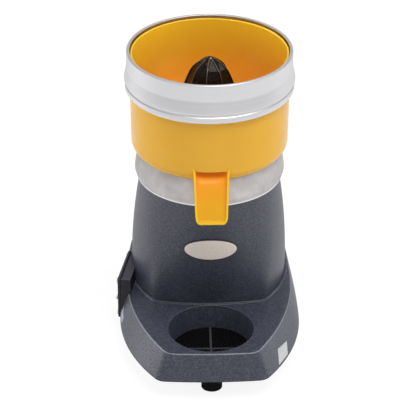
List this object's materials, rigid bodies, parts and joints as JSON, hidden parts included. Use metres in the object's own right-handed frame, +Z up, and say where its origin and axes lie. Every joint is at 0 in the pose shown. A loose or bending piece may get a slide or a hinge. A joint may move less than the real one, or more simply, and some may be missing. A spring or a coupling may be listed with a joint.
{
  "type": "citrus press juicer",
  "caption": "Counter-top motor-driven citrus press: fluted cone turning in a lift-off bowl with a spout, on a tapered cast tower over a base with a round drip recess.",
  "frame": {"origin": "on the surface the three feet stand on, below the vertical drive axis", "axes": "+Z up along the drive axis, -Y towards the spout and the drip recess, +X to the right seen from the spout"},
  "size_m": [0.2067, 0.3086, 0.35],
  "materials": {
    "graphite_paint": "hammered graphite paint",
    "zinc_sheet": "zinc plated",
    "zinc_steel": "zinc plated",
    "black_rubber": "matt",
    "badge_metal": "satin",
    "label_film": "film",
    "cast_aluminium": "as cast",
    "stator_steel": "laminated",
    "copper_wire": "enamelled",
    "bearing_steel": "ground",
    "capacitor_can": "moulded",
    "terminal_plastic": "moulded",
    "black_plastic": "moulded",
    "switch_plastic": "moulded",
    "rotor_steel": "turned",
    "fan_plastic": "moulded",
    "cone_plastic": "polished",
    "brass_insert": "turned",
    "bowl_plastic": "glossy moulded",
    "strainer_steel": "pressed",
    "satin_aluminium": "satin spun",
    "grid_plastic": "moulded",
    "rocker_plastic": "translucent"
  },
  "bodies": {
    "root": {"base_casting": "graphite_paint", "tower_casting": "graphite_paint", "bottom_plate": "zinc_sheet", "bottom_plate_screws": "zinc_steel", "tower_screws": "zinc_steel", "front_foot": "black_rubber", "rear_left_foot": "black_rubber", "rear_right_foot": "black_rubber", "foot_screws": "zinc_steel", "name_badge": "badge_metal", "right_label": "label_film", "left_label": "label_film", "top_tray": "cast_aluminium", "tray_screws": "zinc_steel", "shaft_seal": "black_rubber", "motor_stator": "stator_steel", "stator_windings": "copper_wire", "upper_end_shield": "cast_aluminium", "upper_bearing": "bearing_steel", "lower_end_shield": "cast_aluminium", "lower_bearing": "bearing_steel", "motor_tie_bolts": "zinc_steel", "motor_screws": "zinc_steel", "capacitor": "capacitor_can", "capacitor_clamp": "zinc_sheet", "terminal_block": "terminal_plastic", "cable_gland": "black_plastic", "gland_nut": "black_plastic", "switch_cover": "switch_plastic", "switch_gasket": "black_rubber", "switch_box": "switch_plastic", "switch_module": "black_plastic", "switch_cover_screws": "zinc_steel"},
    "drive": {"drive_shaft": "bearing_steel", "drive_pin": "bearing_steel", "rotor": "rotor_steel", "cooling_fan": "fan_plastic"},
    "cone": {"squeezing_cone": "cone_plastic", "cone_insert": "brass_insert"},
    "bowl": {"bowl": "bowl_plastic"},
    "strainer": {"strainer": "strainer_steel"},
    "ring": {"splash_ring": "satin_aluminium"},
    "grid": {"drip_grid": "grid_plastic"},
    "rocker": {"switch_rocker": "rocker_plastic"}
  },
  "joints": [
    {"name": "drive_spin", "type": "hinge", "parent": "root", "child": "drive", "pos_m": [0, 0, 0.2], "axis": [0, 0, 1], "continuous": true},
    {"name": "cone_lift", "type": "slide", "parent": "drive", "child": "cone", "axis": [0, 0, 1], "range_m": [0, 0.15]},
    {"name": "bowl_lift", "type": "slide", "parent": "root", "child": "bowl", "axis": [0, 0, 1], "range_m": [0, 0.075]},
    {"name": "strainer_lift", "type": "slide", "parent": "bowl", "child": "strainer", "axis": [0, 0, 1], "range_m": [0, 0.0375]},
    {"name": "ring_lift", "type": "slide", "parent": "bowl", "child": "ring", "axis": [0, 0, 1], "range_m": [0, 0.06]},
    {"name": "grid_lift", "type": "slide", "parent": "root", "child": "grid", "axis": [0, 0, 1], "range_m": [0, 0.04]},
    {"name": "rocker_press", "type": "hinge", "parent": "root", "child": "rocker", "pos_m": [-0.09759, 0.00276, 0.046], "axis": [-0.1891, -0.982, 0], "range_deg": [0, 18]}
  ],
  "couplings": [
    {"joint": "bowl_lift", "follows": "cone_lift", "ratio": 0.5},
    {"joint": "strainer_lift", "follows": "cone_lift", "ratio": 0.25}
  ]
}
